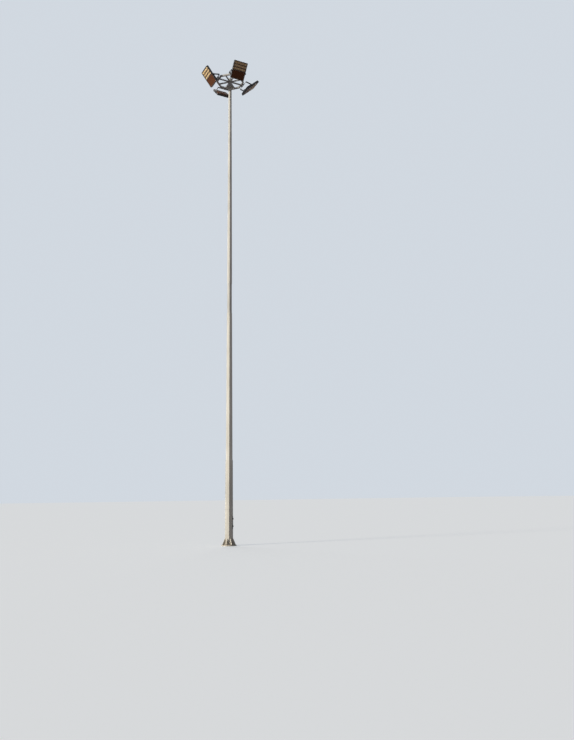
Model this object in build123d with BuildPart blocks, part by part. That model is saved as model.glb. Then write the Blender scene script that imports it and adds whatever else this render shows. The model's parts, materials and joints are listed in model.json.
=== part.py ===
from build123d import *
from math import atan, cos, degrees, radians, sin
import os

os.makedirs("parts", exist_ok=True)

# Floodlight mast: an octagonal galvanized steel mast in slip-jointed sections on a bolted flange,
# with an octagonal crown ring at the top that carries four tilting floodlights on yokes.
# Lengths are in millimetres. +Z is up, and the origin is the centre of the flange's underside.
# The mast's facets face along X, Y and the diagonals, and so do the lamps.

# Mast sections. Widths are across the flats of the octagon.
mast_sides = 8
facet_turn = 22.5
base_flats = 256
mast_taper = 0.0083
base_wall = 10
lower_wall = 8
door_section_top = 1200
base_section_top = 2880
lower_section_top = 8130
upper_section_bottom = 9230
upper_mouth_flats = 162.5
upper_taper = 0.0069
upper_wall = 8
splice_wall = 8
slip_clearance = 0.3
slip_overlap = 450
mast_above_ring = 120

# Base flange, its anchor holes and the gussets between them
flange_diameter = 520
flange_thickness = 30
anchor_circle = 420
anchor_count = 8
anchor_hole = 34
gusset_height = 210
gusset_thickness = 12
gusset_edge = 25
gusset_margin = 22

# Service door, on the facet that faces between +X and -Y
door_azimuth = -45
door_bottom = 555
door_opening_height = 430
door_opening_width = 78
door_frame_rim = 9
door_frame_proud = 6
door_frame_inset = 16
door_frame_corner = 14
door_gap = 6.5
door_thickness = 5
lock_flats = 20
lock_height = 4
lock_offset = 20
lock_spacing = 300

# Door hinges: a pin in two lugs on the frame, with the door's knuckle between them
hinge_spacing = 250
hinge_pin = 6
hinge_clearance = 0.3
hinge_barrel = 12
hinge_stand_off = 10
hinge_lug = 14
hinge_knuckle = 24
hinge_side_gap = 1
hinge_strap = 26
hinge_strap_thickness = 3
hinge_lug_width = 7

# Crown: ring, spokes, the hub sleeve with its flange, and the mast's cap
ring_height = 17260
ring_radius = 495
ring_tube_width = 50
ring_tube_height = 70
ring_tube_corner = 6
spoke_width = 40
spoke_tube_height = 50
spoke_corner = 5
hub_wall = 10
hub_above = 70
flange_joint_below = 240
head_flange_flats = 250
head_flange_thickness = 16
cap_overhang = 6
cap_thickness = 4
cap_rise = 26
cap_gap = 0.3

# Lamp brackets: an inclined plate on two cheeks, on the ring's outer face
bracket_reach = 46
bracket_plate = 10
bracket_width = 130
bracket_height = 80
bracket_cheek = 8
bracket_corner = 8
yoke_droop = 12

# Yoke: a U of flat bar with round ends, pivoted at the lamp's sides
yoke_thickness = 8
yoke_bar = 50
yoke_reach = 265
yoke_bend = 14
yoke_side_gap = 8
yoke_end = 24

# Lamp frame. Positions along its face are measured up from the pivot.
lamp_width = 530
lamp_height = 640
pivot_from_top = 378
frame_front = 45
frame_depth = 66
frame_rim = 16
frame_corner = 22
cross_bar = 12
cross_bar_from_top = 326

# Lamp modules: a finned heat sink with a long lens on its face
module_count = 3
module_gap = 4
module_plate = 12
module_recess = 11
module_clearance = 0.3
fin_count = 16
fin_thickness = 4
fin_depth = 58
fin_draft = 1.0
lens_margin = 14
lens_height = 62
lens_thickness = 6
lens_edge = 2

# Driver housing in the lower half of the lamp
driver_recess = 4
driver_depth = 84
driver_corner = 10
driver_rib_count = 9
driver_rib_thickness = 6
driver_rib_depth = 14
driver_rib_margin = 40
gland_flats = 27
gland_length = 26
gland_from_bottom = 60

# Pivots: a boss and a stud on each side of the frame, with a clamping knob outside the yoke
pivot_stud = 14
pivot_clearance = 0.3
boss_flats = 56
knob_lobes = 6
knob_radius = 30
knob_waist = 24
knob_thickness = 22

# Each lamp's azimuth and, in degrees below the horizontal, where its face is set to point
lamp_azimuths = {"east": 0, "north": 90, "west": 180, "south": 270}
lamp_tilts = {"east": 47, "north": 46, "west": 38, "south": 40}

mast_top = ring_height + mast_above_ring


def base_outer(height):
    """Width across the flats of the base section's outside."""
    return base_flats - mast_taper * height


def lower_outer(height):
    """Width across the flats of the lower section, which seats inside the base section."""
    return base_outer(height) - 2 * (base_wall + slip_clearance)


def upper_outer(height):
    """Width across the flats of the upper section's outside."""
    return upper_mouth_flats - upper_taper * (height - upper_section_bottom)


def splice_in_lower(height):
    """Width across the flats of the splice sleeve where it seats in the lower section."""
    return lower_outer(height) - 2 * (lower_wall + slip_clearance)


def splice_in_upper(height):
    """Width across the flats of the splice sleeve where it seats in the upper section."""
    return upper_outer(height) - 2 * (upper_wall + slip_clearance)


def octagonal_taper(stations):
    """A solid through octagons, one for each pair of a height and a width across the flats."""
    with BuildPart() as taper:
        for (height, flats), (next_height, next_flats) in zip(stations, stations[1:]):
            with BuildSketch(Plane.XY.offset(height)):
                RegularPolygon(flats / 2, mast_sides, major_radius=False, rotation=facet_turn)
            rise = next_height - height
            extrude(amount=rise, taper=degrees(atan((flats - next_flats) / 2 / rise)))
    return taper.part


def tube_stations(heights, outer, wall):
    """Stations of a tube's outside and, less the wall, of its bore."""
    outside = [(height, outer(height)) for height in heights]
    bore = [(height, outer(height) - 2 * wall) for height in heights]
    return outside, bore


def radial_plane(azimuth):
    """The upright plane through the mast's axis: x outward along the azimuth, y up."""
    turn = radians(azimuth)
    return Plane(origin=(0, 0, 0), x_dir=(cos(turn), sin(turn), 0), z_dir=(sin(turn), -cos(turn), 0))


def outward_plane(azimuth, distance, height):
    """The upright plane that faces along an azimuth: x to the right seen from outside, y up."""
    turn = radians(azimuth)
    outward = Vector(cos(turn), sin(turn), 0)
    across = Vector(-sin(turn), cos(turn), 0)
    return Plane(origin=outward * distance + Vector(0, 0, height), x_dir=across, z_dir=outward)


def save(piece, name):
    """Label a finished piece and write its file."""
    piece.label = name
    export_step(piece, f"parts/{name}.step")


# Base flange, closed under the mast
with BuildPart() as base_flange:
    with BuildSketch():
        Circle(flange_diameter / 2)
        with PolarLocations(anchor_circle / 2, anchor_count, start_angle=facet_turn):
            Circle(anchor_hole / 2, mode=Mode.SUBTRACT)
    extrude(amount=flange_thickness)
save(base_flange.part, "base_flange")

# Gussets, welded to the facets and to the flange
with BuildPart() as base_gussets:
    foot = flange_thickness
    head = flange_thickness + gusset_height
    reach = flange_diameter / 2 - gusset_margin
    for side in range(mast_sides):
        with BuildSketch(radial_plane(side * 360 / mast_sides)):
            with BuildLine():
                Polyline(
                    (base_outer(foot) / 2, foot),
                    (reach, foot),
                    (reach, foot + gusset_edge),
                    (base_outer(head) / 2 + gusset_edge, head),
                    (base_outer(head) / 2, head),
                    close=True,
                )
            make_face()
        extrude(amount=gusset_thickness / 2, both=True)
save(base_gussets.part, "base_gussets")

# Door frame geometry: a plane on the door's facet, x to the right and y up seen from outside
door_middle = door_bottom + door_opening_height / 2
door_front = outward_plane(door_azimuth, base_outer(door_middle) / 2 + door_frame_proud, door_middle)
frame_outer_width = door_opening_width + 2 * door_frame_rim
frame_outer_height = door_opening_height + 2 * door_frame_rim
frame_outer_corner = door_frame_corner + door_frame_rim

# Door section of the mast, cut out for the door frame
with BuildPart() as mast_door_section:
    outside, bore = tube_stations((flange_thickness, door_section_top), base_outer, base_wall)
    add(octagonal_taper(outside))
    add(octagonal_taper(bore), mode=Mode.SUBTRACT)
    with BuildSketch(door_front):
        RectangleRounded(
            frame_outer_width + 2 * slip_clearance,
            frame_outer_height + 2 * slip_clearance,
            frame_outer_corner + slip_clearance,
        )
    extrude(amount=-(door_frame_proud + 3 * base_wall), mode=Mode.SUBTRACT)
save(mast_door_section.part, "mast_door_section")

# Base section, welded flush on the door section
with BuildPart() as mast_base_section:
    outside, bore = tube_stations((door_section_top, base_section_top), base_outer, base_wall)
    add(octagonal_taper(outside))
    add(octagonal_taper(bore), mode=Mode.SUBTRACT)
save(mast_base_section.part, "mast_base_section")

# Lower section, seated inside the base section
with BuildPart() as mast_lower_section:
    heights = (base_section_top - slip_overlap, lower_section_top)
    outside, bore = tube_stations(heights, lower_outer, lower_wall)
    add(octagonal_taper(outside))
    add(octagonal_taper(bore), mode=Mode.SUBTRACT)
save(mast_lower_section.part, "mast_lower_section")

# Splice sleeve, seated inside the sections below and above it and bare between them
with BuildPart() as mast_splice_sleeve:
    outside = [
        (lower_section_top - slip_overlap, splice_in_lower(lower_section_top - slip_overlap)),
        (lower_section_top, splice_in_lower(lower_section_top)),
        (upper_section_bottom, splice_in_upper(upper_section_bottom)),
        (upper_section_bottom + slip_overlap, splice_in_upper(upper_section_bottom + slip_overlap)),
    ]
    bore = [(height, flats - 2 * splice_wall) for height, flats in outside]
    add(octagonal_taper(outside))
    add(octagonal_taper(bore), mode=Mode.SUBTRACT)
save(mast_splice_sleeve.part, "mast_splice_sleeve")

# Upper section, slipped over the splice sleeve
with BuildPart() as mast_upper_section:
    heights = (upper_section_bottom, mast_top)
    outside, bore = tube_stations(heights, upper_outer, upper_wall)
    add(octagonal_taper(outside))
    add(octagonal_taper(bore), mode=Mode.SUBTRACT)
save(mast_upper_section.part, "mast_upper_section")

# Cap over the mast's top: a shallow octagonal pyramid with a skirt
cap_inside = upper_outer(mast_top) + 2 * cap_overhang
with BuildPart() as mast_cap:
    underside = mast_top + cap_gap
    skirt = cap_inside + 2 * cap_thickness
    add(
        octagonal_taper(
            [
                (underside - cap_rise, skirt),
                (underside + cap_thickness, skirt),
                (underside + cap_rise, cap_inside / 3),
            ]
        )
    )
    add(octagonal_taper([(underside - cap_rise, cap_inside), (underside, cap_inside)]), mode=Mode.SUBTRACT)
save(mast_cap.part, "mast_cap")

# Door frame: a rounded rim through the wall, proud of the facet
with BuildPart() as door_frame:
    with BuildSketch(door_front):
        RectangleRounded(frame_outer_width, frame_outer_height, frame_outer_corner)
        RectangleRounded(door_opening_width, door_opening_height, door_frame_corner, mode=Mode.SUBTRACT)
    extrude(amount=-(door_frame_proud + door_frame_inset))
save(door_frame.part, "door_frame")

# Hinge geometry: the pins' line stands off the frame's front, over its right rim
door_width = door_opening_width - 2 * door_gap
door_height = door_opening_height - 2 * door_gap
hinge_x = door_opening_width / 2 + door_frame_rim / 2
hinge_line = door_front.from_local_coords((hinge_x, 0, hinge_stand_off))
hinge_lug_offset = (hinge_knuckle + hinge_lug) / 2 + hinge_side_gap
hinge_pin_length = hinge_knuckle + 2 * (hinge_lug + hinge_side_gap)
hinge_heights = [door_middle - hinge_spacing / 2, door_middle + hinge_spacing / 2]


def hinge_plane(height):
    """The plane across a hinge at one height: x to the right, and y into the mast."""
    origin = Vector(hinge_line.X, hinge_line.Y, height)
    return Plane(origin=origin, x_dir=door_front.x_dir, z_dir=(0, 0, 1))


# Frame side of the hinges: lugs that rise from the rim round the pin
with BuildPart() as door_hinge_lugs:
    for middle in hinge_heights:
        for height in (middle - hinge_lug_offset, middle + hinge_lug_offset):
            with BuildSketch(hinge_plane(height)):
                RegularPolygon(hinge_barrel / 2, mast_sides, major_radius=False, rotation=facet_turn)
                with Locations((0, hinge_stand_off / 2)):
                    Rectangle(hinge_lug_width, hinge_stand_off)
            extrude(amount=hinge_lug / 2, both=True)
        with BuildSketch(hinge_plane(middle)):
            Circle(hinge_pin / 2)
        extrude(amount=hinge_pin_length / 2, both=True)
save(door_hinge_lugs.part, "door_hinge_lugs")

# Service door: the leaf, its hinge knuckles and two key locks
with BuildPart() as service_door:
    with BuildSketch(door_front):
        RectangleRounded(door_width, door_height, door_frame_corner - door_gap)
    extrude(amount=-door_thickness)
    for middle in hinge_heights:
        with BuildSketch(hinge_plane(middle)):
            RegularPolygon(hinge_barrel / 2, mast_sides, major_radius=False, rotation=facet_turn)
            with BuildLine():
                Polyline(
                    (0, hinge_barrel / 2),
                    (door_width / 2 - hinge_x, hinge_stand_off),
                    (door_width / 2 - hinge_x - hinge_strap, hinge_stand_off),
                    (door_width / 2 - hinge_x - hinge_strap, hinge_stand_off - hinge_strap_thickness),
                    (0, -hinge_barrel / 2),
                    close=True,
                )
            make_face()
            Circle(hinge_pin / 2 + hinge_clearance, mode=Mode.SUBTRACT)
        extrude(amount=hinge_knuckle / 2, both=True)
    with BuildSketch(door_front):
        with Locations((lock_offset - door_width / 2, 0)):
            with GridLocations(0, lock_spacing, 1, 2):
                RegularPolygon(lock_flats / 2, mast_sides, major_radius=False)
                RegularPolygon(lock_flats / 4, 3, mode=Mode.SUBTRACT)
    extrude(amount=lock_height)
save(service_door.part, "service_door")

# Head flange, an octagonal plate welded round the shaft, that the crown is bolted down to
flange_joint = ring_height - flange_joint_below
with BuildPart() as mast_head_flange:
    with BuildSketch(Plane.XY.offset(flange_joint)):
        RegularPolygon(head_flange_flats / 2, mast_sides, major_radius=False, rotation=facet_turn)
    extrude(amount=-head_flange_thickness)
    head_levels = (flange_joint - head_flange_thickness, flange_joint)
    head_bore = [(height, upper_outer(height) + 2 * slip_clearance) for height in head_levels]
    add(octagonal_taper(head_bore), mode=Mode.SUBTRACT)
save(mast_head_flange.part, "mast_head_flange")

# Crown hub: an octagonal sleeve on the mast's top, with a flange that seats on the head flange
hub_top = ring_height + hub_above
hub_flats = upper_outer(flange_joint) + 2 * (slip_clearance + hub_wall)
with BuildPart() as crown_hub:
    with BuildSketch(Plane.XY.offset(flange_joint)):
        RegularPolygon(head_flange_flats / 2, mast_sides, major_radius=False, rotation=facet_turn)
    extrude(amount=head_flange_thickness)
    add(octagonal_taper([(flange_joint, hub_flats), (hub_top, hub_flats)]))
    hub_bore = [(height, upper_outer(height) + 2 * slip_clearance) for height in (flange_joint, hub_top)]
    add(octagonal_taper(hub_bore), mode=Mode.SUBTRACT)
save(crown_hub.part, "crown_hub")

# Crown ring: eight mitred lengths of tube welded into one octagon, a flat side to each spoke
ring_apothem = ring_radius * cos(radians(facet_turn))
ring_inside = ring_apothem - ring_tube_width / 2
ring_outside = ring_apothem + ring_tube_width / 2
with BuildPart() as crown_ring:
    with BuildSketch(Plane.XY.offset(ring_height)):
        RegularPolygon(ring_outside, mast_sides, major_radius=False, rotation=facet_turn)
        RegularPolygon(ring_inside, mast_sides, major_radius=False, rotation=facet_turn, mode=Mode.SUBTRACT)
    extrude(amount=ring_tube_height / 2, both=True)
    level_edges = crown_ring.edges().filter_by(Axis.Z, reverse=True)
    chamfer(level_edges, length=ring_tube_corner)
save(crown_ring.part, "crown_ring")

# Spokes between the hub's facets and the ring
with BuildPart() as crown_spokes:
    for side in range(mast_sides):
        with BuildSketch(outward_plane(side * 360 / mast_sides, hub_flats / 2, ring_height)):
            Rectangle(spoke_width, spoke_tube_height)
            chamfer(vertices(), length=spoke_corner)
        extrude(amount=ring_inside - hub_flats / 2)
save(crown_spokes.part, "crown_spokes")

# Bracket and yoke geometry, for the lamp on the +X side
leg_direction = Vector(cos(radians(yoke_droop)), 0, -sin(radians(yoke_droop)))
leg_upward = Vector(sin(radians(yoke_droop)), 0, cos(radians(yoke_droop)))
yoke_seat = Vector(ring_outside + bracket_reach + bracket_plate, 0, ring_height)
yoke_plane = Plane(origin=yoke_seat, x_dir=(0, 1, 0), z_dir=-leg_upward)
pivot = yoke_seat + leg_direction * yoke_reach
yoke_inside = lamp_width / 2 + yoke_side_gap
yoke_outside = yoke_inside + yoke_thickness

# Lamp bracket: cheeks on the ring's outer face and the inclined plate that the yoke bolts to
plate_back = yoke_seat - leg_direction * bracket_plate
plate_rise = leg_upward * (bracket_height / 2)
ring_face_half = ring_tube_height / 2 - ring_tube_corner
with BuildPart() as lamp_bracket:
    for hand in (1, -1):
        with BuildSketch(Plane.XZ.offset(hand * (bracket_width - bracket_cheek) / 2)):
            with BuildLine():
                Polyline(
                    (ring_outside, ring_height - ring_face_half),
                    (ring_outside, ring_height + ring_face_half),
                    ((plate_back + plate_rise).X, (plate_back + plate_rise).Z),
                    ((plate_back - plate_rise).X, (plate_back - plate_rise).Z),
                    close=True,
                )
            make_face()
        extrude(amount=bracket_cheek / 2, both=True)
    with BuildSketch(Plane(origin=plate_back, x_dir=(0, 1, 0), z_dir=leg_direction)):
        Rectangle(bracket_width, bracket_height)
        chamfer(vertices(), length=bracket_corner)
    extrude(amount=bracket_plate)

# Yoke: a bent flat bar with round ends
with BuildPart() as yoke:
    with BuildSketch(yoke_plane):
        with BuildLine():
            Polyline(
                (-yoke_outside, yoke_reach + yoke_end),
                (-yoke_outside, 0),
                (yoke_outside, 0),
                (yoke_outside, yoke_reach + yoke_end),
                (yoke_inside, yoke_reach + yoke_end),
                (yoke_inside, yoke_thickness),
                (-yoke_inside, yoke_thickness),
                (-yoke_inside, yoke_reach + yoke_end),
                close=True,
            )
        make_face()
        fillet(vertices().group_by(Axis.Y)[0], radius=yoke_bend + yoke_thickness)
    extrude(amount=yoke_bar / 2, both=True)
    leg_axis = Axis(pivot, leg_direction)
    end_edges = yoke.edges().filter_by(Axis.Y).group_by(leg_axis)[-1]
    fillet(end_edges, radius=yoke_end)
    with BuildSketch(Plane(origin=pivot, x_dir=(1, 0, 0), z_dir=(0, 1, 0))):
        Circle(pivot_stud / 2 + pivot_clearance)
    extrude(amount=yoke_outside, both=True, mode=Mode.SUBTRACT)

# Lamp geometry. A lamp is made upright, facing +X, and tilted about its pivot line at the end.
# Its plane is on the pivot line: x across the lamp, y up its face and z out of it.
lamp_plane = Plane(origin=pivot, x_dir=(0, 1, 0), z_dir=(1, 0, 0))
lamp_top = pivot_from_top
lamp_bottom = pivot_from_top - lamp_height
inside_width = lamp_width - 2 * frame_rim
bar_top = lamp_top - cross_bar_from_top
bar_bottom = bar_top - cross_bar
modules_opening = lamp_top - frame_rim - bar_top
driver_opening = bar_bottom - lamp_bottom - frame_rim
modules_middle = bar_top + modules_opening / 2
driver_middle = bar_bottom - driver_opening / 2


def side_plane(hand, distance):
    """The upright plane that faces sideways, on the pivot line, for the hand 1 or -1."""
    return Plane(origin=pivot + Vector(0, hand * distance, 0), x_dir=(1, 0, 0), z_dir=(0, hand, 0))


# Lamp frame: a deep rim with a cross bar, and on each side a boss and a stud through the yoke
with BuildPart() as lamp_frame:
    with BuildSketch(lamp_plane.offset(frame_front)):
        with Locations((0, (lamp_top + lamp_bottom) / 2)):
            RectangleRounded(lamp_width, lamp_height, frame_corner)
        with Locations((0, modules_middle)):
            Rectangle(inside_width, modules_opening, mode=Mode.SUBTRACT)
        with Locations((0, driver_middle)):
            Rectangle(inside_width, driver_opening, mode=Mode.SUBTRACT)
    extrude(amount=-frame_depth)
    for hand in (1, -1):
        with BuildSketch(side_plane(hand, lamp_width / 2)):
            RegularPolygon(boss_flats / 2, mast_sides, major_radius=False)
        extrude(amount=yoke_side_gap - pivot_clearance)
        with BuildSketch(side_plane(hand, lamp_width / 2)):
            Circle(pivot_stud / 2)
        extrude(amount=yoke_side_gap + yoke_thickness + pivot_clearance)

# Lamp modules: a comb of fins behind a plate, one above the other
module_pitch = modules_opening / module_count
module_height = module_pitch - module_gap
module_levels = [bar_top + module_pitch * (row + 0.5) for row in range(module_count)]
module_width = inside_width - 2 * module_clearance
module_face = frame_front - module_recess
with BuildPart() as lamp_modules:
    for level in module_levels:
        comb_plane = Plane(
            origin=lamp_plane.from_local_coords((0, level, module_face)),
            x_dir=(0, 1, 0),
            z_dir=lamp_plane.y_dir,
        )
        with BuildSketch(comb_plane):
            with Locations((0, module_plate / 2)):
                Rectangle(module_width, module_plate)
            fin_pitch = (module_width - fin_thickness) / (fin_count - 1)
            with Locations((0, module_plate + fin_depth / 2)):
                with GridLocations(fin_pitch, 0, fin_count, 1):
                    Trapezoid(fin_thickness, fin_depth, 90 - fin_draft)
        extrude(amount=module_height / 2, both=True)

# Lenses: long strips on the modules' faces
with BuildPart() as lamp_lenses:
    for level in module_levels:
        with BuildSketch(lamp_plane.offset(module_face)):
            with Locations((0, level)):
                Rectangle(module_width - 2 * lens_margin, lens_height)
        extrude(amount=lens_thickness)
    lens_fronts = lamp_lenses.faces().group_by(Axis.X)[-1]
    chamfer(lens_fronts.edges(), length=lens_edge)

# Driver housing, with ribs and a cable gland on its back
with BuildPart() as lamp_driver:
    with BuildSketch(lamp_plane.offset(frame_front - driver_recess)):
        with Locations((0, driver_middle)):
            Rectangle(inside_width - 2 * module_clearance, driver_opening - 2 * module_clearance)
        chamfer(vertices(), length=driver_corner)
    extrude(amount=-driver_depth)
    driver_back = lamp_plane.offset(frame_front - driver_recess - driver_depth)
    with BuildSketch(driver_back):
        with Locations((0, driver_middle)):
            rib_pitch = (inside_width - 2 * driver_rib_margin) / (driver_rib_count - 1)
            with GridLocations(rib_pitch, 0, driver_rib_count, 1):
                Rectangle(driver_rib_thickness, driver_opening - 2 * driver_rib_margin)
    extrude(amount=-driver_rib_depth)
    with BuildSketch(driver_back):
        with Locations((0, lamp_bottom + gland_from_bottom - driver_rib_margin / 2)):
            RegularPolygon(gland_flats / 2, 6, major_radius=False)
    extrude(amount=-gland_length)

# Knobs on the studs' ends, outside the yoke, with a lobe and a waist in turn
knob_corners = []
for corner in range(2 * knob_lobes):
    corner_turn = radians(corner * 180 / knob_lobes)
    corner_radius = (knob_radius, knob_waist)[corner % 2]
    knob_corners.append((corner_radius * cos(corner_turn), corner_radius * sin(corner_turn)))
with BuildPart() as lamp_knobs:
    for hand in (1, -1):
        with BuildSketch(side_plane(hand, yoke_outside + pivot_clearance)):
            with BuildLine():
                Polyline(knob_corners, close=True)
            make_face()
        extrude(amount=knob_thickness)

# The four lamps with their yokes are alike, a quarter turn apart, each at its own tilt
lamp_pieces = {
    "lamp_frame": lamp_frame,
    "lamp_modules": lamp_modules,
    "lamp_lenses": lamp_lenses,
    "lamp_driver": lamp_driver,
    "lamp_knobs": lamp_knobs,
}
for side_name, azimuth in lamp_azimuths.items():
    save(yoke.part.rotate(Axis.Z, azimuth), f"yoke_{side_name}")
    for stem, builder in lamp_pieces.items():
        tilted = builder.part.rotate(Axis(pivot, (0, 1, 0)), lamp_tilts[side_name])
        save(tilted.rotate(Axis.Z, azimuth), f"{stem}_{side_name}")

# The four brackets, in one node
with BuildPart() as lamp_brackets:
    for azimuth in lamp_azimuths.values():
        add(lamp_bracket.part.rotate(Axis.Z, azimuth))
save(lamp_brackets.part, "lamp_brackets")
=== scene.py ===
import json
import math
import random

import bpy
from mathutils import Matrix, Vector


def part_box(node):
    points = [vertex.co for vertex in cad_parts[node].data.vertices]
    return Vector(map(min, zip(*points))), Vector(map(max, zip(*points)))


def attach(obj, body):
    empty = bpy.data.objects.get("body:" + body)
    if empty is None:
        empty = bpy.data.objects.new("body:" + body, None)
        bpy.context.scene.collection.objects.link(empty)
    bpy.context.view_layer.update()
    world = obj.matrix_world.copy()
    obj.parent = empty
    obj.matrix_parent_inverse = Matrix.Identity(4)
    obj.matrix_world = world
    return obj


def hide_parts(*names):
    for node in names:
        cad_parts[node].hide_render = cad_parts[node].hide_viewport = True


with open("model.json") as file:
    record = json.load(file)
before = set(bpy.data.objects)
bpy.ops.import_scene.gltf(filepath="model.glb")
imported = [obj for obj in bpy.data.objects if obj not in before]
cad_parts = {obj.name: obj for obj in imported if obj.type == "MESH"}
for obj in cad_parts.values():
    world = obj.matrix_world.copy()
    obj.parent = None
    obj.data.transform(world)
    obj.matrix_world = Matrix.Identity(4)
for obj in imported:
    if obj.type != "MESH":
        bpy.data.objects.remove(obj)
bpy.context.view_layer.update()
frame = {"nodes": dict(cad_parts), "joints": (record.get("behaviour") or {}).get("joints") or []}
random.seed(17)

# Lengths are in metres, the camera's sensor in millimetres and angles in degrees.
# The lamps stand off along +X, +Y, -X and -Y, at these azimuths from +X.
LAMPS = {"east": 0, "north": 90, "west": 180, "south": 270}
JOINTS = {joint["name"]: joint for joint in frame["joints"]}

# Shaft, as in the CAD: widths across the flats of the octagon, and the sections' ends
MAST_SIDES = 8
BASE_FLATS = 0.256
BASE_TAPER = 0.0083
BASE_WALL = 0.0103
FLANGE_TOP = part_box("base_flange")[1].z
FLANGE_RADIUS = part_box("base_flange")[1].x
DOOR_SECTION_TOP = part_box("mast_door_section")[1].z
BASE_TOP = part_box("mast_base_section")[1].z
LOWER_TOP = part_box("mast_lower_section")[1].z
UPPER_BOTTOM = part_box("mast_upper_section")[0].z
UPPER_MOUTH = 2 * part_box("mast_upper_section")[1].x
UPPER_TAPER = 0.0069

# Gussets
GUSSET_HEIGHT = 0.210
GUSSET_THICKNESS = 0.012
GUSSET_INSET = 0.022
GUSSET_REACH = FLANGE_RADIUS - GUSSET_INSET

# Service door, on the facet between +X and -Y
DOOR_AZIMUTH = -45
DOOR_MIDDLE = 0.770
DOOR_OPENING = (0.078, 0.430)
DOOR_RIM = 0.009
DOOR_CORNER = 0.014
DOOR_PROUD = 0.006
DOOR_LEAF = 0.005
HINGE_SPACING = 0.250
HINGE_HALF = 0.027

# Crown
RING_HEIGHT = (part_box("crown_ring")[0].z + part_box("crown_ring")[1].z) / 2
RING_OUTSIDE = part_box("crown_ring")[1].x
RING_TUBE = (0.050, 0.070)
RING_CHAMFER = 0.006
SPOKE_TUBE = (0.040, 0.050)
SPOKE_CHAMFER = 0.005
HUB_FLATS = 0.1294
HEAD_FLANGE = 0.016
HEAD_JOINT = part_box("mast_head_flange")[1].z

# Lamp brackets and yokes
BRACKET_REACH = 0.046
BRACKET_PLATE = 0.010
BRACKET_WIDTH = 0.130
BRACKET_HEIGHT = 0.080
BRACKET_CHEEK = 0.008
YOKE_DROOP = 12
YOKE_THICKNESS = 0.008
YOKE_OUTSIDE = 0.281

# Lamp, in its own plane: x across, y up its face from the pivot and z out of the face
LAMP_WIDTH = 0.530
LAMP_TOP = 0.378
LAMP_BOTTOM = -0.262
FRAME_FRONT = 0.045
FRAME_RIM = 0.016
BAR_TOP = 0.052
BAR_BOTTOM = 0.040
MODULE_COUNT = 3
MODULE_WIDTH = 0.4974
MODULE_PITCH = (LAMP_TOP - FRAME_RIM - BAR_TOP) / MODULE_COUNT
MODULE_GAP = 0.004
MODULE_HEIGHT = MODULE_PITCH - MODULE_GAP
MODULE_LEVELS = [BAR_TOP + MODULE_PITCH * (row + 0.5) for row in range(MODULE_COUNT)]
MODULE_FACE = 0.034
MODULE_BACK = 0.022
FIN_COUNT = 16
LENS_FRONT = 0.040
LENS_SIZE = (0.4694, 0.062)
DRIVER_FRONT = 0.041
DRIVER_BACK = -0.043
GLAND_LEVEL = -0.222
GLAND_LENGTH = 0.026
CLEARANCE = 0.0003


# Camera
# It stands where the photographer stood, and looks up at the mast through a wide lens.
IMAGE_SIZE = (574, 740)
FOCAL_PIXELS = 700
HORIZON_ROW = 497
EYE_HEIGHT = 1.6
DISTANCE = 24.39
MAST_OFFSET = -2.040
ROLL = math.radians(-0.72)
VIEW_AZIMUTH = math.radians(62.4)
SENSOR_WIDTH = 36
CLIP_END = 900


def add_camera():
    """The camera at the photograph's place, angle and lens. Gives its level directions."""
    data = bpy.data.cameras.new("camera")
    data.sensor_fit = "HORIZONTAL"
    data.sensor_width = SENSOR_WIDTH
    data.lens = FOCAL_PIXELS / IMAGE_SIZE[0] * SENSOR_WIDTH
    data.clip_end = CLIP_END
    camera = bpy.data.objects.new("camera", data)
    bpy.context.scene.collection.objects.link(camera)
    ahead = Vector((math.cos(VIEW_AZIMUTH), math.sin(VIEW_AZIMUTH), 0))
    right = Vector((math.sin(VIEW_AZIMUTH), -math.cos(VIEW_AZIMUTH), 0))
    up = Vector((0, 0, 1))
    pitch = math.atan((HORIZON_ROW - IMAGE_SIZE[1] / 2) / FOCAL_PIXELS)
    place = -ahead * DISTANCE - right * MAST_OFFSET + up * EYE_HEIGHT
    look = ahead * math.cos(pitch) + up * math.sin(pitch)
    rise = up * math.cos(pitch) - ahead * math.sin(pitch)
    axes = Matrix((right, rise, -look)).transposed().to_4x4()
    camera.matrix_world = Matrix.Translation(place) @ axes @ Matrix.Rotation(ROLL, 4, "Z")
    bpy.context.scene.camera = camera
    return ahead, right


ahead, right = add_camera()


# Light: a soft low key from the left, a soft one from behind and a plain pale world
def add_sun(name, toward_right, toward_camera, elevation, strength, softness, colour):
    """A soft sun, placed by where it stands as seen from the camera."""
    data = bpy.data.lights.new(name, "SUN")
    data.energy = strength
    data.angle = math.radians(softness)
    data.color = colour
    sun = bpy.data.objects.new(name, data)
    bpy.context.scene.collection.objects.link(sun)
    level = (right * toward_right - ahead * toward_camera).normalized()
    climb = math.radians(elevation)
    source = level * math.cos(climb) + Vector((0, 0, math.sin(climb)))
    sun.rotation_euler = source.to_track_quat("Z", "Y").to_euler()


add_sun(
    "key", toward_right=-0.85, toward_camera=0.50, elevation=11,
    strength=3.35, softness=10, colour=(1.0, 0.92, 0.77),
)
add_sun(
    "back", toward_right=-0.30, toward_camera=-0.95, elevation=36,
    strength=1.15, softness=45, colour=(0.95, 0.97, 1.0),
)

WORLD_LIGHT = (0.95, 0.97, 1.0)
WORLD_STRENGTH = 0.19
BACKDROP = (0.64, 0.69, 0.75)


def seen_directly(nodes, links):
    """1 on camera, glossy and transmission rays, and 0 on the rest."""
    path = nodes.new("ShaderNodeLightPath")
    seen = path.outputs["Is Camera Ray"]
    for name in ("Is Glossy Ray", "Is Transmission Ray"):
        either = nodes.new("ShaderNodeMath")
        either.operation = "MAXIMUM"
        links.new(seen, either.inputs[0])
        links.new(path.outputs[name], either.inputs[1])
        seen = either.outputs[0]
    return seen


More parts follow.
